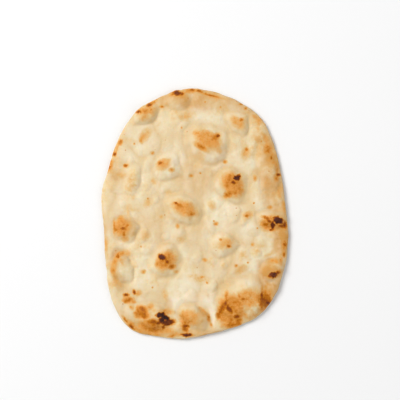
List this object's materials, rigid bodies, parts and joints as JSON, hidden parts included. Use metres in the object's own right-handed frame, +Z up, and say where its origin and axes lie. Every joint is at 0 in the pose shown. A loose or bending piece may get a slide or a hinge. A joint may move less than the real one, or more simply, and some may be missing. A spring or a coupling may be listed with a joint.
{
  "type": "naan bread",
  "caption": "Oval, hand-stretched leavened flatbread with a blistered, golden-toasted and partly charred top, a thin rounded rim and a flat base, lying flat.",
  "frame": {"origin": "on the surface the bread lies on, under the middle of its outline's box", "axes": "+Z up out of the blistered top; +Y along the bread's longest side, towards its narrower, rounder end; +X to the right when the bread is seen from above with +Y away from the viewer"},
  "size_m": [0.1638, 0.2194, 0.0122],
  "materials": {
    "crust": "matte"
  },
  "bodies": {
    "root": {"naan": "crust"}
  },
  "joints": []
}
